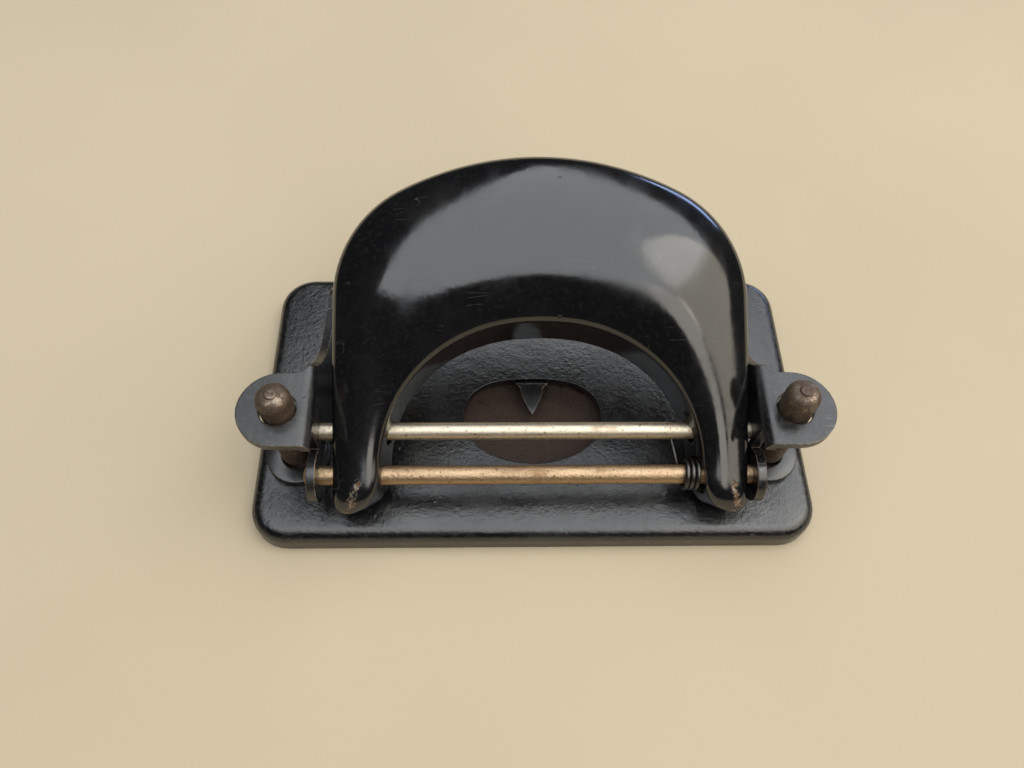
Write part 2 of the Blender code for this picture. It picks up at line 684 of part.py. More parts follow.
def handle_section(inner, outer, crown_share, inset, floor, count):
    """One closed section: up the inner wall, over the dome, and down the outer wall."""
    inner, outer = Vector(inner), Vector(outer)
    top = dome_height((inner.y + outer.y) / 2) - inset
    span = (outer - inner).length
    way = (outer - inner) / span
    peak = span * blend_value(*PEAK_SHARE, crown_share)

    def side(width, shape):
        run, slope, reach = (blend_value(*shape[key], crown_share) for key in ("run", "slope", "reach"))
        return side_profile(width, top, run, slope, reach, count)

    section = [(*(inner + way * reach), lift) for reach, lift in side(peak, INNER_SIDE)]
    section.append((*(inner + way * peak), top))
    falling = reversed(side(span - peak, OUTER_SIDE))
    section += [(*(outer - way * reach), lift) for reach, lift in falling]
    if floor < RIM_LEVEL:
        section = [(*inner, floor)] + section + [(*outer, floor)]
    return section


def handle_shape(inset, floor, rays=17, rows=8, count=6):
    """The horseshoe as one loft of sections, from the right toe over the crown to the left toe."""
    toe = HANDLE_TOE + inset
    right = []
    for row in range(rows):
        along = blend_value(toe, RAY_CENTRE, math.sin(math.pi / 2 * row / rows))
        inner, outer = arm_edges(along, inset)
        right.append(handle_section((inner, along), (outer, along), 0.0, inset, floor, count))
    for ray in range(rays, 0, -1):
        angle = math.pi / 2 * ray / rays
        crown_share = smoothstep(1.25 * (1.0 - ray / rays))
        ends = (bow_on_ray(angle, inset), outer_on_ray(angle, inset))
        right.append(handle_section(*ends, crown_share, inset, floor, count))
    ends = (bow_on_ray(0.0, inset), outer_on_ray(0.0, inset))
    top = handle_section(*ends, 1.0, inset, floor, count)
    left = [[(-x, y, z) for x, y, z in section] for section in reversed(right)]
    shape = bmesh.new()
    rings = [[shape.verts.new(point) for point in section] for section in right + [top] + left]
    for first, second in zip(rings, rings[1:]):
        for k in range(len(first)):
            after = (k + 1) % len(first)
            shape.faces.new((first[k], first[after], second[after], second[k]))
    shape.faces.new(rings[0])
    shape.faces.new(rings[-1])
    return shape


def handle_frame():
    place = Matrix.Translation((HANDLE_SHIFT_X, AXLE_Y, AXLE_Z))
    return place @ Matrix.Rotation(HANDLE_TILT, 4, "X")


def make_handle(material):
    """A domed shell, open below, with holes for the axle and a slot for the rod in each wall."""
    frame = handle_frame()
    handle = object_from_bmesh("handle", handle_shape(0.0, RIM_LEVEL), frame)
    hollow = handle_shape(HANDLE_WALL, RIM_LEVEL - CUT)
    combine(handle, object_from_bmesh("handle_hollow_cutter", hollow, frame))
    reach = HANDLE_HALF_X + CUT
    combine(handle, cylinder_x("handle_axle_cutter", (AXLE_Y, AXLE_Z), AXLE_R + SMALL_GAP, -reach, reach))
    rise = ROD_Z - AXLE_Z
    run = PIN_Y - AXLE_Y
    far = math.hypot(run, rise)
    lean = math.atan2(rise, run) - HANDLE_TILT
    far_spot = (far * math.cos(lean), far * math.sin(lean))
    near_spot = (run * math.cos(lean), run * math.sin(lean))
    slot = capsule(near_spot, far_spot, ROD_R + 0.18 * MM)
    combine(handle, flat_solid("handle_rod_cutter", slot, -reach, reach, frame @ frame_along_x()))
    low_x, high_x = BOW_HALF_X - 2 * CUT, COIL_START_X + 0.65 * MM
    notch = cylinder_x("spring_notch_cutter", (AXLE_Y, AXLE_Z), NOTCH_R, low_x, high_x)
    combine(handle, notch)
    return finish(handle, material)


def make_spring(material):
    """Torsion spring: an end in the axle's cross hole, three turns, and a leg under the drive rod."""
    run, rise = PIN_Y - AXLE_Y, ROD_Z - AXLE_Z
    span = math.hypot(run, rise)
    under_rod = ROD_R + WIRE_R + 0.12 * MM
    lean = math.atan2(rise, run) + math.asin((COIL_R - under_rod) / span)
    first, last = -math.pi / 2, lean - math.pi / 2 + 6 * math.pi

    def on_coil(x, radius, angle):
        return (x, AXLE_Y + radius * math.cos(angle), AXLE_Z + radius * math.sin(angle))

    points = [on_coil(COIL_START_X, radius, first) for radius in (0.35 * COIL_R, 0.85 * COIL_R)]
    pieces = 42
    for step in range(1, pieces + 1):
        angle = blend_value(first, last, step / pieces)
        x = COIL_START_X - COIL_PITCH * (angle - first) / (2 * math.pi)
        points.append(on_coil(x, COIL_R, angle))
    leg_x, leg_y, leg_z = points[-1]
    for reach in (2.5 * MM, 5.5 * MM, 8.6 * MM):
        inward = 0.24 * reach
        points.append((leg_x - inward, leg_y + reach * math.cos(lean), leg_z + reach * math.sin(lean)))
    return finish(wire_solid("return_spring", points, WIRE_R), material, 60.0)


# Assembly -------------------------------------------------------------------
def build():
    enamel = make_material("black_enamel", (0.012, 0.012, 0.014), 0.22, 0.0)
    rusty = make_material("rusty_sheet", (0.16, 0.085, 0.055), 0.6, 0.6)
    pin_steel = make_material("rusted_pin_steel", (0.24, 0.16, 0.11), 0.5, 0.8)
    nickel = make_material("nickelled_steel", (0.62, 0.56, 0.44), 0.28, 1.0)
    copper = make_material("coppered_steel", (0.56, 0.38, 0.22), 0.36, 1.0)
    spring_steel = make_material("spring_steel", (0.13, 0.12, 0.11), 0.35, 1.0)
    make_base(enamel)
    slide = make_chip_slide(rusty)
    make_pointer(enamel)
    make_detent(spring_steel)
    low_strip = BASE_UNDER_Z - GAP - STRIP
    make_rivet("pointer_rivet", (0, POINTER_RIVET_Y), BASE_TOP_Z + SMALL_GAP, low_strip - SMALL_GAP,
               0.75 * MM, 1.5 * MM, 0.5 * MM, enamel)
    detent_tail_z = BASE_UNDER_Z - GAP - 0.55 * MM
    make_rivet("detent_rivet", (DETENT_X, DETENT_RIVET_Y), BASE_TOP_Z + SMALL_GAP, detent_tail_z,
               0.75 * MM, 1.5 * MM, 0.5 * MM, enamel)
    pins = []
    for side, sign in SIDES.items():
        make_bracket(side, sign, enamel)
        make_die(side, sign, enamel)
        pins.append(make_pin(side, sign, pin_steel))
        for end, y in RIVET_YS.items():
            make_rivet(f"{side}_{end}_rivet", (sign * RIVET_X, y), FOOT_TOP_Z + SMALL_GAP,
                       BASE_UNDER_Z - SMALL_GAP, 1.05 * MM, 2.1 * MM, 0.9 * MM, enamel)
    make_axle(copper)
    rod = make_rod(nickel)
    make_spring(spring_steel)
    handle = make_handle(enamel)
    hang_on(hinge_empty("handle_pivot_axis", handle_frame()), handle)
    hang_on(hinge_empty("punch_travel_axis", Matrix.Translation((0, PIN_Y, ROD_Z))), rod, *pins)
    hang_on(hinge_empty("chip_slide_axis", Matrix.Translation((0, BASE_REAR_Y, SLIDE_LOW_Z))), slide)


SIDES = {"left": -1, "right": 1}
clear_scene()
PUNCH = new_collection("hole_punch")
CUTTERS = new_collection("cutters")
build()
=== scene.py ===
"""Looks of the two-hole desk punch: a Blender 4.5 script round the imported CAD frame.

Metres, +Z up, in the CAD frame. The handle and the return spring are modelled again
and finer; every other piece is a welded, smooth-shaded copy of its CAD node. Each
piece has a procedural material with its own grain, wear and gloss.
"""
import json
import math

import bmesh
import bpy
from mathutils import Matrix, Vector

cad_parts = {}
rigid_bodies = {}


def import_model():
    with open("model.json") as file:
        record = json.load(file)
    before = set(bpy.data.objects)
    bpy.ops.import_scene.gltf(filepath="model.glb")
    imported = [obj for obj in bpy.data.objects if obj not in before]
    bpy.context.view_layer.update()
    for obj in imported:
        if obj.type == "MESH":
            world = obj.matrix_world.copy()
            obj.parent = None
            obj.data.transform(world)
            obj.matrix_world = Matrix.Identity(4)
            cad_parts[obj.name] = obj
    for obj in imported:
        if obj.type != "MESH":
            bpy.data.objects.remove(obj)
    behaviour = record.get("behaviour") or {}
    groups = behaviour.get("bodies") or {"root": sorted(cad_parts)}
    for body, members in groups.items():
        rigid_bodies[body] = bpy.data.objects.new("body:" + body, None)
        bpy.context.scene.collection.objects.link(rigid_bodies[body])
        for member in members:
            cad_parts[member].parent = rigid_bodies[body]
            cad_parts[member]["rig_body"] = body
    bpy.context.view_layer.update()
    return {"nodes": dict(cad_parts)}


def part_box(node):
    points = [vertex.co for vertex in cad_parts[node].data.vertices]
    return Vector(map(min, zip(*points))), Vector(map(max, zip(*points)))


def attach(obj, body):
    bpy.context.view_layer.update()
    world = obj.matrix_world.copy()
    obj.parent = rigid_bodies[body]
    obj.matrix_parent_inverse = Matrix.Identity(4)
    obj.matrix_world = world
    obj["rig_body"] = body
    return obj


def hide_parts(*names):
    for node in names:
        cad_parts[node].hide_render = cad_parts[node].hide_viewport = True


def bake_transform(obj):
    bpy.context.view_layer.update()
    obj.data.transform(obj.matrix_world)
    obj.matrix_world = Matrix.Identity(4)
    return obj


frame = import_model()

MM = 0.001

# Places read from the frame ---------------------------------------------------
AXLE_LOW, AXLE_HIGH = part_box("front_axle")
ROD_LOW, ROD_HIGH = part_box("drive_rod")
HANDLE_LOW, HANDLE_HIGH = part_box("handle")
AXLE = (AXLE_LOW + AXLE_HIGH) / 2
ROD = (ROD_LOW + ROD_HIGH) / 2

# The handle's shape -----------------------------------------------------------
TILT = math.radians(30.0)
SHIFT_X = (HANDLE_LOW.x + HANDLE_HIGH.x) / 2
WALL = 1.3 * MM
HALF_X = (HANDLE_HIGH.x - HANDLE_LOW.x) / 2
APEX = 51.85 * MM
TOE = -5.9 * MM
CROWN_R = 49.3 * MM
SHOULDER_R = 20.0 * MM
BOW_HALF_X = 24.4 * MM
BOW_HALF_Y = 22.2 * MM
BOW_POWER = 2.2
# Section of the handle, as (arm, crown) pairs: lean of the wall, dome slope at the shoulder, rounding
INNER_SIDE = {"run": (1.4 * MM, 2.3 * MM), "slope": (0.53, 0.53), "reach": (0.9 * MM, 0.9 * MM)}
OUTER_SIDE = {"run": (0.3 * MM, 0.6 * MM), "slope": (0.70, 0.84), "reach": (0.9 * MM, 1.6 * MM)}
PEAK_SHARE = (0.45, 0.42)
RAY_CENTRE = 8.0 * MM
RIM_LEVEL = -3.0 * MM
DOME_TOP = 8.0 * MM
FOOT_DOME = 3.8 * MM
TOE_DROP = 2.2 * MM
AXLE_HOLE_R = 1.7 * MM
ROD_SLOT_R = 1.58 * MM
NOTCH_R = 3.1 * MM
NOTCH_END_X = 27.0 * MM

# The return spring ------------------------------------------------------------
WIRE_R = 0.4 * MM
COIL_R = 2.2 * MM
COIL_PITCH = 0.86 * MM
COIL_START_X = 26.35 * MM
COIL_TURNS = 3

# Light, stage and camera -----------------------------------------------------
LIGHT_DISTANCE = 1.2
LIGHTS = (  # name, shape, way to it from the object, size, power, colour
    ("sky_panel", "RECTANGLE", (0.10, 0.14, 0.98), (1.62, 2.30), 27.0, (0.93, 0.97, 1.0)),
    ("warm_panel", "ELLIPSE", (0.70, -0.12, 0.70), (1.25, 1.15), 8.0, (1.0, 0.93, 0.78)),
    ("front_panel", "ELLIPSE", (0.35, -0.60, 0.72), (0.42, 0.46), 1.35, (1.0, 0.95, 0.86)),
    ("blue_panel", "ELLIPSE", (0.60, 0.76, 0.25), (0.6, 0.24), 2.0, (0.45, 0.6, 1.0)),
)
ROOM_MIRRORED = (0.03, 0.031, 0.034, 1.0)
ROOM_DIFFUSE = (0.30, 0.30, 0.30, 1.0)
ROOM_SEEN = (0.66, 0.65, 0.63, 1.0)
FLOOR_HALF = 3.0
FLOOR_DROP = 0.02 * MM
CAMERA_PLACE = Vector((-7.37, -72.19, 133.77)) * MM
CAMERA_YAW = math.radians(2.976)
CAMERA_DROP = math.radians(60.11)
CAMERA_ROLL = math.radians(2.474)
CAMERA_LENS = 28.95


# Small helpers ----------------------------------------------------------------
def link(item):
    bpy.context.scene.collection.objects.link(item)
    return item


def smoothstep(value):
    value = min(max(value, 0.0), 1.0)
    return value * value * (3.0 - 2.0 * value)


def between(first, second, share):
    return first + (second - first) * share


def shade(mesh, angle):
    """Smooth shading that stays sharp at edges steeper than the angle."""
    mesh.polygons.foreach_set("use_smooth", [True] * len(mesh.polygons))
    mesh.set_sharp_from_angle(angle=math.radians(angle))


def copy_of(node, material, angle=33.0):
    """A welded and smooth-shaded copy of a CAD node, which it stands for."""
    source = frame["nodes"][node]
    shape = bmesh.new()
    shape.from_mesh(source.data)
    bmesh.ops.remove_doubles(shape, verts=shape.verts, dist=0.001 * MM)
    points = [tuple(vert.co) for vert in shape.verts]
    faces = [[vert.index for vert in face.verts] for face in shape.faces]
    shape.free()
    mesh = bpy.data.meshes.new(node + "_skin")
    mesh.from_pydata(points, [], faces)
    shade(mesh, angle)
    item = link(bpy.data.objects.new(node + "_skin", mesh))
    item.data.materials.append(material)
    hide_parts(node)
    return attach(item, source["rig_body"])


def cut(item, cutter):
    """Take the cutter's solid away from the item, and remove the cutter."""
    change = item.modifiers.new("cut", "BOOLEAN")
    change.object = cutter
    change.solver = "EXACT"
    graph = bpy.context.evaluated_depsgraph_get()
    mesh = bpy.data.meshes.new_from_object(item.evaluated_get(graph))
    item.modifiers.remove(change)
    old = item.data
    item.data = mesh
    bpy.data.meshes.remove(old)
    bpy.data.objects.remove(cutter, do_unlink=True)


def bar_along_x(radius, first, second, low_x, high_x, steps=40):
    """A solid along X whose section is the slot round two (y, z) centres."""
    turn = math.atan2(second[1] - first[1], second[0] - first[0])
    outline = []
    for step in range(steps):
        angle = turn - math.pi / 2 + 2 * math.pi * step / steps
        centre = second if step < steps / 2 else first
        outline.append((centre[0] + radius * math.cos(angle), centre[1] + radius * math.sin(angle)))
    shape = bmesh.new()
    ends = [[shape.verts.new((x, y, z)) for y, z in outline] for x in (low_x, high_x)]
    for k in range(steps):
        after = (k + 1) % steps
        shape.faces.new((ends[0][k], ends[0][after], ends[1][after], ends[1][k]))
    shape.faces.new(ends[0])
    shape.faces.new(ends[1])
    bmesh.ops.recalc_face_normals(shape, faces=shape.faces)
    mesh = bpy.data.meshes.new("bar")
    shape.to_mesh(mesh)
    shape.free()
    return link(bpy.data.objects.new("bar", mesh))


# Handle -----------------------------------------------------------------------
def ray_circle(angle, centre, radius):
    """Where a ray from the ray centre leaves a circle; angle is from the handle's length axis."""
    way = Vector((math.sin(angle), math.cos(angle)))
    offset = Vector((0.0, RAY_CENTRE)) - Vector(centre)
    half = way.dot(offset)
    reach = -half + math.sqrt(half * half - offset.length_squared + radius * radius)
    return Vector((0.0, RAY_CENTRE)) + way * reach


def outer_on_ray(angle, inset):
    """The outer outline: crown arc, shoulder arc, then a straight side."""
    crown = (0.0, APEX - CROWN_R)
    across = HALF_X - SHOULDER_R
    shoulder = (across, crown[1] + math.sqrt((CROWN_R - SHOULDER_R) ** 2 - across**2))
    on_crown = ray_circle(angle, crown, CROWN_R - inset)
    turn = math.atan2(across, shoulder[1] - crown[1])
    if math.atan2(on_crown.x, on_crown.y - crown[1]) < turn:
        return on_crown
    side_x = HALF_X - inset
    side_y = RAY_CENTRE + side_x / math.tan(angle)
    if side_y < shoulder[1]:
        return Vector((side_x, side_y))
    return ray_circle(angle, shoulder, SHOULDER_R - inset)


def bow_x(along, inset):
    """Half the bow's width between the rims at a place along the handle."""
    share = 1.0 - (along / (BOW_HALF_Y + inset)) ** BOW_POWER
    return (BOW_HALF_X + inset) * share ** (1.0 / BOW_POWER)


def bow_on_ray(angle, inset):
    """Where a ray from the ray centre meets the bow's rim, by halving."""
    way = Vector((math.sin(angle), math.cos(angle)))
    near, far = 0.0, APEX
    for _ in range(40):
        reach = (near + far) / 2
        place = Vector((0.0, RAY_CENTRE)) + way * reach
        if place.y < BOW_HALF_Y + inset and place.x < bow_x(place.y, inset):
            near = reach
        else:
            far = reach
    return place


def arm_edges(along, inset):
    """Inner and outer x of a straight arm at a place along the handle."""
    foot_x, foot_y, run = 5.05 * MM, 6.9 * MM, 1.0 * MM
    if along > run:
        inner = bow_x(along, inset)
    else:
        share = min((run - along) / (foot_y - inset), 1.0)
        inner = bow_x(run, inset) + foot_x - (foot_x - inset) * math.sqrt(1.0 - share * share)
    corner = 1.2 * MM
    below = max((TOE + inset + corner) - along, 0.0)
    outer = HALF_X - inset - corner + math.sqrt(max(corner**2 - below**2, 0.0))
    return inner, outer


def dome_height(along):
    """Height of the handle's top over the axle plane at a place along it."""
    if along < 0:
        return FOOT_DOME - TOE_DROP * (along / TOE) ** 3
    return between(FOOT_DOME, DOME_TOP, smoothstep(along / (38.0 * MM)))


def side_profile(span, top, run, slope, reach, count):
    """(distance from the rim, level) up a leaning wall, round its shoulder and over to the peak."""
    run = min(run, 0.35 * span)
    width = span - run
    reach = min(reach, 0.4 * width)
    last = 1.0 - reach / width

    def on_dome(share):
        return Vector((span - width * share, top - width * slope / 2 * share * share))

    rim, end = Vector((0.0, RIM_LEVEL)), on_dome(last)
    crease = Vector((run, end.y - slope * last * reach))
    start = crease + (rim - crease).normalized() * reach
    points = [rim]
    for step in range(count // 2 + 1):
        share = step / (count // 2)
        points.append(start.lerp(crease, share).lerp(crease.lerp(end, share), share))
    return points + [on_dome(last * (1.0 - step / count)) for step in range(1, count)]


def handle_section(inner, outer, crown_share, inset, count):
    """A section line: up the inner wall, over the dome, and down the outer wall."""
    inner, outer = Vector(inner), Vector(outer)
    top = dome_height((inner.y + outer.y) / 2) - inset
    span = (outer - inner).length
    way = (outer - inner) / span
    peak = span * between(*PEAK_SHARE, crown_share)

    def side(width, shape):
        run, slope, reach = (between(*shape[key], crown_share) for key in ("run", "slope", "reach"))
        return side_profile(width, top, run, slope, reach, count)

    section = [(*(inner + way * reach), lift) for reach, lift in side(peak, INNER_SIDE)]
    section.append((*(inner + way * peak), top))
    falling = reversed(side(span - peak, OUTER_SIDE))
    return section + [(*(outer - way * reach), lift) for reach, lift in falling]


def handle_sections(inset, rays=52, rows=24, count=16):
    """All section lines of one skin, from the right toe over the crown to the left toe."""
    right = []
    for row in range(rows):
        along = between(TOE + inset, RAY_CENTRE, math.sin(math.pi / 2 * row / rows))
        inner, outer = arm_edges(along, inset)
        right.append(handle_section((inner, along), (outer, along), 0.0, inset, count))
    for ray in range(rays, 0, -1):
        angle = math.pi / 2 * ray / rays
        share = smoothstep(1.25 * (1.0 - ray / rays))
        ends = (bow_on_ray(angle, inset), outer_on_ray(angle, inset))
        right.append(handle_section(*ends, share, inset, count))
    ends = (bow_on_ray(0.0, inset), outer_on_ray(0.0, inset))
    middle = handle_section(*ends, 1.0, inset, count)
    left = [[(-x, y, z) for x, y, z in line] for line in reversed(right)]
    return right + [middle] + left


def handle_shell():
    """The pressed shell: an outer and an inner skin that meet at the rim."""
    shape = bmesh.new()
    skins = []
    for inset in (0.0, WALL):
        lines = handle_sections(inset)
        skins.append([[shape.verts.new(point) for point in line] for line in lines])
    for rings in skins:
        for first, second in zip(rings, rings[1:]):
            for a, b, c, d in zip(first, first[1:], second[1:], second):
                shape.faces.new((a, b, c, d))
        shape.faces.new(rings[0])
        shape.faces.new(rings[-1])
    outer, inner = skins
    for side in (0, -1):
        for k in range(len(outer) - 1):
            shape.faces.new((outer[k][side], outer[k + 1][side], inner[k + 1][side], inner[k][side]))
    for end in (0, -1):
        shape.faces.new((outer[end][0], outer[end][-1], inner[end][-1], inner[end][0]))
    bmesh.ops.recalc_face_normals(shape, faces=shape.faces)
    mesh = bpy.data.meshes.new("handle_shell")
    shape.to_mesh(mesh)
    shape.free()
    return mesh


def handle_frame():
    return Matrix.Translation((SHIFT_X, AXLE.y, AXLE.z)) @ Matrix.Rotation(TILT, 4, "X")


def distance_to_segment(point, first, second):
    way = second - first
    share = min(max((point - first).dot(way) / way.length_squared, 0.0), 1.0)
    return (point - first - way * share).length


def mark_wear(mesh):
    """Store where the enamel has gone: the ridge of each foot and the tips of the feet."""
    ridges = [
        (Vector((-28.6, -0.6)) * MM, Vector((-30.6, -4.9)) * MM),
        (Vector((30.2, -0.8)) * MM, Vector((31.6, -5.2)) * MM),
    ]
    worn = mesh.attributes.new("worn", "FLOAT", "POINT")
    for vert, value in zip(mesh.vertices, worn.data):
        place = Vector(vert.co[:2])
        ridge = min(distance_to_segment(place, *ends) for ends in ridges)
        line = 1.0 - smoothstep(ridge / (1.5 * MM))
        tip = smoothstep((TOE + 1.6 * MM - place.y) / (1.8 * MM)) * 0.72
        value.value = max(line, tip) if vert.co.z > -2.0 * MM else 0.3 * tip


def make_handle(material):
    handle = link(bpy.data.objects.new("handle_shell", handle_shell()))
    reach = HALF_X + 2 * MM
    run, rise = ROD.y - AXLE.y, ROD.z - AXLE.z
    far = math.hypot(run, rise)
    lean = math.atan2(rise, run) - TILT
    near_spot = (run * math.cos(lean), run * math.sin(lean))
    far_spot = (far * math.cos(lean), far * math.sin(lean))
    cut(handle, bar_along_x(AXLE_HOLE_R, (0, 0), (0, 0), -reach, reach))
    cut(handle, bar_along_x(ROD_SLOT_R, near_spot, far_spot, -reach, reach))
    cut(handle, bar_along_x(NOTCH_R, (0, 0), (0, 0), BOW_HALF_X - 4 * MM, NOTCH_END_X - SHIFT_X, 64))
    mark_wear(handle.data)
    handle.data.transform(handle_frame())
    shade(handle.data, 38.0)
    handle.data.materials.clear()
    handle.data.materials.append(material)
    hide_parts("handle")
    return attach(handle, "handle_lever")


def make_spring(material):
    """Torsion spring: an end in the axle's cross hole, three turns, and a leg under the drive rod."""
    run, rise = ROD.y - AXLE.y, ROD.z - AXLE.z
    under_rod = (ROD_HIGH.z - ROD_LOW.z) / 2 + WIRE_R + 0.12 * MM
    lean = math.atan2(rise, run) + math.asin((COIL_R - under_rod) / math.hypot(run, rise))
    first, last = -math.pi / 2, lean - math.pi / 2 + 2 * math.pi * COIL_TURNS

    def on_coil(x, radius, angle):
        return Vector((x, AXLE.y + radius * math.cos(angle), AXLE.z + radius * math.sin(angle)))

    points = [on_coil(COIL_START_X, share * COIL_R, first) for share in (0.35, 0.7, 0.92)]
    pieces = 36 * COIL_TURNS
    for step in range(1, pieces + 1):
        angle = between(first, last, step / pieces)
        x = COIL_START_X - COIL_PITCH * (angle - first) / (2 * math.pi)
        points.append(on_coil(x, COIL_R, angle))
    end = points[-1]
    for reach in (1.2 * MM, 2.5 * MM, 5.5 * MM, 8.6 * MM):
        points.append(end + Vector((-0.24, math.cos(lean), math.sin(lean))) * reach)
    curve = bpy.data.curves.new("return_spring", "CURVE")
    curve.dimensions = "3D"
    curve.bevel_depth = WIRE_R
    curve.bevel_resolution = 4
    curve.use_fill_caps = True
    line = curve.splines.new("POLY")
    line.points.add(len(points) - 1)
    for point, place in zip(line.points, points):
        point.co = (*place, 1.0)
    source = link(bpy.data.objects.new("spring_curve", curve))
    graph = bpy.context.evaluated_depsgraph_get()
    mesh = bpy.data.meshes.new_from_object(source.evaluated_get(graph))
    bpy.data.objects.remove(source, do_unlink=True)
    shade(mesh, 50.0)
    mesh.materials.clear()
    mesh.materials.append(material)
    spring = link(bpy.data.objects.new("return_spring_wire", mesh))
    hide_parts("return_spring")
    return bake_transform(spring)


# Materials --------------------------------------------------------------------
class Surface:
    """A material being made: short ways to add nodes and to set or link their inputs."""

    def __init__(self, name):
        self.material = bpy.data.materials.new(name)
        self.material.use_nodes = True
        self.tree = self.material.node_tree
        self.shader = self.tree.nodes["Principled BSDF"]
        scale = self.node("Mapping", {"Scale": (1 / MM,) * 3})
        self.tree.links.new(self.node("TexCoord").outputs["Object"], scale.inputs["Vector"])
        self.place = scale.outputs["Vector"]

    def put(self, socket, value):
        if isinstance(value, bpy.types.NodeSocket):
            self.tree.links.new(value, socket)
        else:
            socket.default_value = value

    def node(self, kind, inputs=None, **settings):
        made = self.tree.nodes.new("ShaderNode" + kind)
        for name, value in settings.items():
            setattr(made, name, value)
        for name, value in (inputs or {}).items():
            self.put(made.inputs[name], value)
        return made

    def maths(self, operation, first, second=0.0):
        return self.node("Math", {0: first, 1: second}, operation=operation).outputs[0]

    def step(self, value, low, high, to_low=0.0, to_high=1.0):
        """A smooth step from to_low to to_high as the value goes from low to high."""
        inputs = {"Value": value, "From Min": low, "From Max": high, "To Min": to_low, "To Max": to_high}
        return self.node("MapRange", inputs, interpolation_type="SMOOTHSTEP").outputs["Result"]

    def mix(self, share, first, second):
        made = self.node("Mix", data_type="RGBA")
        for index, value in ((0, share), (6, first), (7, second)):
            if isinstance(value, tuple) and len(value) == 3:
                value = (*value, 1.0)
            self.put(made.inputs[index], value)
        return made.outputs[2]

    def noise(self, scale, detail=3.0, roughness=0.5, stretch=(1.0, 1.0, 1.0), turn=(0.0, 0.0, 0.0)):
        place = self.place
        if stretch != (1.0, 1.0, 1.0) or turn != (0.0, 0.0, 0.0):
            rotated = self.node("Mapping", {"Vector": place, "Rotation": turn, "Scale": stretch})
            place = rotated.outputs["Vector"]
        inputs = {"Vector": place, "Scale": scale, "Detail": detail, "Roughness": roughness}
        return self.node("TexNoise", inputs).outputs["Fac"]

    def specks(self, scale, size, share):
        """Small round marks, one in each of a share of the cells."""
        cells = self.node("TexVoronoi", {"Vector": self.place, "Scale": scale, "Randomness": 1.0})
        pick = self.node("SeparateColor", {"Color": cells.outputs["Color"]})
        near = self.step(cells.outputs["Distance"], size * 0.55, size, 1.0, 0.0)
        chosen = self.step(pick.outputs[0], share, share + 0.02, 1.0, 0.0)
        return self.maths("MULTIPLY", near, chosen)

    def scratches(self, turn, width=0.004, share=0.6):
        """Hairline marks: the thin level lines of a stretched noise, kept in patches."""
        lines = self.noise(0.5, 0.0, 0.4, stretch=(0.05, 1.0, 1.0), turn=turn)
        off_level = self.maths("ABSOLUTE", self.maths("SUBTRACT", lines, 0.5))
        thin = self.step(off_level, width * 0.4, width, 1.0, 0.0)
        patches = self.step(self.noise(0.21, 2.0), share, share + 0.08)
        return self.maths("MULTIPLY", thin, patches)

    def edges(self, radius):
        """The normal rounded at edges, and how near an edge a point is."""
        rounded = self.node("Bevel", {"Radius": radius}, samples=6).outputs["Normal"]
        plain = self.node("NewGeometry").outputs["Normal"]
        dot = self.node("VectorMath", {0: rounded, 1: plain}, operation="DOT_PRODUCT").outputs["Value"]
        return rounded, self.maths("SUBTRACT", 1.0, dot)

    def bump(self, height, depth, normal=None):
        inputs = {"Height": height, "Distance": depth, "Strength": 1.0}
        if normal is not None:
            inputs["Normal"] = normal
        return self.node("Bump", inputs).outputs["Normal"]

    def finish(self, colour, roughness, metallic, normal, specular=0.5):
        self.put(self.shader.inputs["Base Color"], colour)
        self.put(self.shader.inputs["Roughness"], roughness)
        self.put(self.shader.inputs["Metallic"], metallic)
        self.put(self.shader.inputs["Normal"], normal)
        self.shader.inputs["Specular IOR Level"].default_value = specular
        return self.material


BLACK = (0.003, 0.003, 0.0034)
BARE = (0.40, 0.34, 0.27)
BROWN = (0.20, 0.105, 0.055)


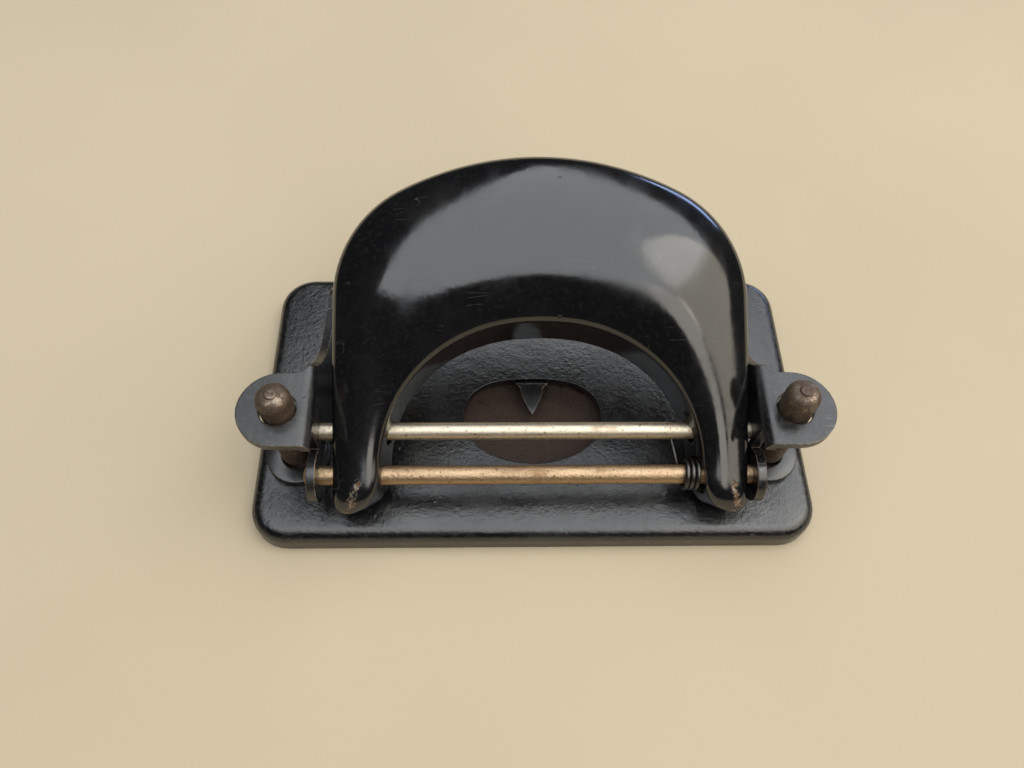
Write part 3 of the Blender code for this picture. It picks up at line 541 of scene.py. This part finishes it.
def enamel(name, peel, lumps, gloss, wear, edge=0.3 * MM, marks=1.0, mottle=0.007, worn=None):
    """Black stoving enamel over steel, with orange peel, specks, hairlines and worn edges.

    peel and lumps are relief strengths, gloss is the low and high roughness, wear is the noise
    level over which an edge is bare, mottle is the tone of the dull spots, and worn names an
    attribute that says where the enamel is rubbed off.
    """
    s = Surface(name)
    rounded, edge_near = s.edges(edge)
    patchy = s.noise(1.1, 4.0, 0.65)
    bare = s.maths("MULTIPLY", s.step(edge_near, 0.04, 0.16), s.step(patchy, wear, wear + 0.07))
    nicks = s.specks(0.30, 0.10, 0.22 * marks)
    fine_nicks = s.specks(1.3, 0.12, 0.07 * marks)
    lines = s.maths("MAXIMUM", s.scratches((0.3, 0.2, 0.7)), s.scratches((0.1, 0.4, -0.9)))
    if worn is not None:
        stored = s.node("Attribute", attribute_name=worn).outputs["Fac"]
        broken = s.maths("ADD", s.noise(1.1, 2.0, 0.6), s.noise(4.5, 3.0, 0.7))
        rubbed = s.step(s.maths("ADD", s.maths("MULTIPLY", stored, 0.55), broken), 1.42, 1.56)
        bare = s.maths("MAXIMUM", bare, rubbed)
    metal_tint = s.mix(s.step(s.noise(2.3, 3.0), 0.42, 0.6), BROWN, BARE)
    clouds = s.step(s.noise(0.12, 4.0, 0.6), 0.45, 0.75)
    spots = s.step(s.noise(1.3, 3.0, 0.6), 0.5, 0.66)
    spread = s.maths("MAXIMUM", clouds, spots)
    dust = s.mix(spread, BLACK, (mottle, 0.95 * mottle, 0.95 * mottle))
    shown = s.maths("MULTIPLY", s.maths("MAXIMUM", fine_nicks, lines), 0.45 * marks)
    colour = s.mix(bare, s.mix(shown, dust, (0.15, 0.15, 0.145)), metal_tint)
    low, high = gloss
    smear = s.step(s.noise(0.16, 5.0, 0.6, stretch=(1.0, 0.5, 1.0)), 0.35, 0.7, low, high)
    rough = s.maths("MAXIMUM", smear, s.maths("MULTIPLY", s.maths("MAXIMUM", bare, shown), 0.42))
    height = s.maths("MULTIPLY", s.noise(0.45, 2.0, 0.45), peel)
    height = s.maths("ADD", height, s.maths("MULTIPLY", s.noise(1.4, 4.0, 0.65), lumps))
    height = s.maths("SUBTRACT", height, s.maths("MULTIPLY", s.maths("MAXIMUM", bare, nicks), 0.9))
    normal = s.bump(height, 0.05 * MM, rounded)
    return s.finish(colour, rough, s.maths("MULTIPLY", bare, 0.85), normal, specular=0.85)


def plated(name, clean, stain, gloss, grain, stained=0.5):
    """Plated or bare bar steel: fine pits, draw lines along X, and stains."""
    s = Surface(name)
    rounded, _ = s.edges(0.2 * MM)
    cloud = s.noise(0.35, 4.0, 0.6, stretch=(0.5, 1.0, 1.0))
    pits = s.noise(2.6, 3.0, 0.7)
    draw = s.noise(3.0, 2.0, 0.5, stretch=(0.06, 1.0, 1.0))
    dirt = s.maths("MAXIMUM", s.step(cloud, stained, stained + 0.22), s.specks(0.9, 0.25, 0.22))
    colour = s.mix(dirt, clean, stain)
    colour = s.mix(s.step(pits, 0.55, 0.72), colour, tuple(0.45 * part for part in stain))
    rough = s.step(s.maths("ADD", s.maths("MULTIPLY", cloud, 0.6), s.maths("MULTIPLY", pits, 0.4)),
                   0.35, 0.65, *gloss)
    height = s.maths("ADD", s.maths("MULTIPLY", pits, grain), s.maths("MULTIPLY", draw, 0.25))
    return s.finish(colour, rough, 1.0, s.bump(height, 0.03 * MM, rounded))


def rusty(name, clean, rust, metallic, gloss, grain, rusted):
    """Steel with brown rust: bare on worn edges, rough and pitted elsewhere."""
    s = Surface(name)
    rounded, edge_near = s.edges(0.25 * MM)
    broad = s.noise(0.5, 5.0, 0.65)
    fine = s.noise(3.4, 4.0, 0.7)
    both = s.maths("ADD", s.maths("MULTIPLY", broad, 0.65), s.maths("MULTIPLY", fine, 0.35))
    bare = s.maths("MAXIMUM", s.step(both, rusted + 0.07, rusted - 0.05),
                   s.maths("MULTIPLY", s.step(edge_near, 0.04, 0.2), s.step(fine, 0.4, 0.55)))
    dark = s.mix(s.step(fine, 0.35, 0.62), tuple(0.4 * part for part in rust), rust)
    colour = s.mix(bare, dark, clean)
    rough = s.step(bare, 0.0, 1.0, gloss[1], gloss[0])
    metal = s.step(bare, 0.0, 1.0, metallic, 1.0)
    return s.finish(colour, rough, metal, s.bump(both, grain, rounded))


# Stage ------------------------------------------------------------------------
def make_floor():
    shape = bmesh.new()
    bmesh.ops.create_grid(shape, x_segments=1, y_segments=1, size=FLOOR_HALF)
    mesh = bpy.data.meshes.new("floor")
    shape.to_mesh(mesh)
    shape.free()
    floor = link(bpy.data.objects.new("floor", mesh))
    floor.location.z = -FLOOR_DROP
    s = Surface("pale_floor")
    tone = s.mix(s.step(s.noise(0.01, 3.0), 0.3, 0.7), (0.405, 0.337, 0.234), (0.43, 0.358, 0.25))
    mesh.materials.append(s.finish(tone, 0.85, 0.0, s.bump(s.noise(0.8, 2.0), 0.01 * MM), specular=0.2))


def make_light(name, shape, way, size, power, colour):
    """A soft panel that faces the object from a direction."""
    data = bpy.data.lights.new(name, "AREA")
    data.shape = shape
    data.size, data.size_y = size
    data.energy = power
    data.color = colour
    lamp = link(bpy.data.objects.new(name, data))
    way = Vector(way).normalized()
    lamp.location = way * LIGHT_DISTANCE
    lamp.rotation_mode = "QUATERNION"
    lamp.rotation_quaternion = way.to_track_quat("Z", "Y")


def make_world():
    """A pale room: palest to the camera, fair as diffuse light, dim in what the object mirrors."""
    world = bpy.data.worlds.new("room")
    bpy.context.scene.world = world
    world.use_nodes = True
    tree = world.node_tree
    ray = tree.nodes.new("ShaderNodeLightPath")
    into = tree.nodes["Background"].inputs["Color"]
    for test, tone in (("Is Camera Ray", ROOM_SEEN), ("Is Diffuse Ray", ROOM_DIFFUSE)):
        choice = tree.nodes.new("ShaderNodeMix")
        choice.data_type = "RGBA"
        tree.links.new(ray.outputs[test], choice.inputs[0])
        choice.inputs[6].default_value = ROOM_MIRRORED
        choice.inputs[7].default_value = tone
        tree.links.new(choice.outputs[2], into)
        into = choice.inputs[6]


def make_camera():
    """The camera looks down at the punch from in front, close above the paper side."""
    yaw, drop, roll = CAMERA_YAW, CAMERA_DROP, CAMERA_ROLL
    ahead = Vector((math.sin(yaw) * math.cos(drop), math.cos(yaw) * math.cos(drop), -math.sin(drop)))
    level = Vector((math.cos(yaw), -math.sin(yaw), 0.0))
    up = level.cross(ahead)
    right = math.cos(roll) * level + math.sin(roll) * up
    top = math.cos(roll) * up - math.sin(roll) * level
    data = bpy.data.cameras.new("camera")
    data.sensor_width = 36.0
    data.lens = CAMERA_LENS
    data.clip_start = 0.01
    camera = link(bpy.data.objects.new("camera", data))
    turn = Matrix((right, top, -ahead)).transposed().to_4x4()
    camera.matrix_world = Matrix.Translation(CAMERA_PLACE) @ turn
    bpy.context.scene.camera = camera


# Assembly ---------------------------------------------------------------------
def build():
    bpy.context.scene.view_settings.view_transform = "Standard"
    gloss_black = enamel("handle_enamel", 0.35, 0.03, (0.10, 0.20), 0.46, marks=0.7, worn="worn")
    cast_black = enamel("base_enamel", 0.8, 1.7, (0.16, 0.30), 0.56, marks=0.8, mottle=0.016)
    sheet_black = enamel("bracket_enamel", 0.35, 0.35, (0.24, 0.42), 0.36, marks=1.6, mottle=0.02)
    small_black = enamel("fitting_enamel", 0.2, 0.1, (0.2, 0.35), 0.33, edge=0.3 * MM)
    nickel = plated("nickel", (0.64, 0.56, 0.44), (0.42, 0.30, 0.18), (0.40, 0.54), 0.8, stained=0.55)
    copper = plated("copper_plate", (0.48, 0.335, 0.205), (0.30, 0.19, 0.105), (0.34, 0.50), 3.6)
    pin_rust = rusty(
        "pin_rust", (0.24, 0.19, 0.15), (0.105, 0.07, 0.048), 0.55, (0.36, 0.6), 0.04 * MM, 0.43
    )
    sheet_rust = rusty(
        "sheet_rust", (0.055, 0.042, 0.034), (0.062, 0.036, 0.026), 0.3, (0.5, 0.75), 0.05 * MM, 0.42
    )
    spring_dark = plated("spring_steel", (0.10, 0.095, 0.09), (0.06, 0.05, 0.042), (0.28, 0.45), 0.4)
    make_handle(gloss_black)
    make_spring(spring_dark)
    copy_of("base_plate", cast_black)
    copy_of("chip_slide", sheet_rust)
    copy_of("centre_pointer", small_black)
    copy_of("slide_detent", spring_dark)
    copy_of("drive_rod", nickel)
    copy_of("front_axle", copper)
    for node in ("pointer_rivet", "detent_rivet"):
        copy_of(node, small_black)
    for side in ("left", "right"):
        copy_of(side + "_bracket", sheet_black)
        copy_of(side + "_die_bush", small_black)
        copy_of(side + "_punch_pin", pin_rust)
        for end in ("front", "rear"):
            copy_of(f"{side}_{end}_rivet", small_black)
    make_floor()
    make_world()
    for light in LIGHTS:
        make_light(*light)
    make_camera()


build()
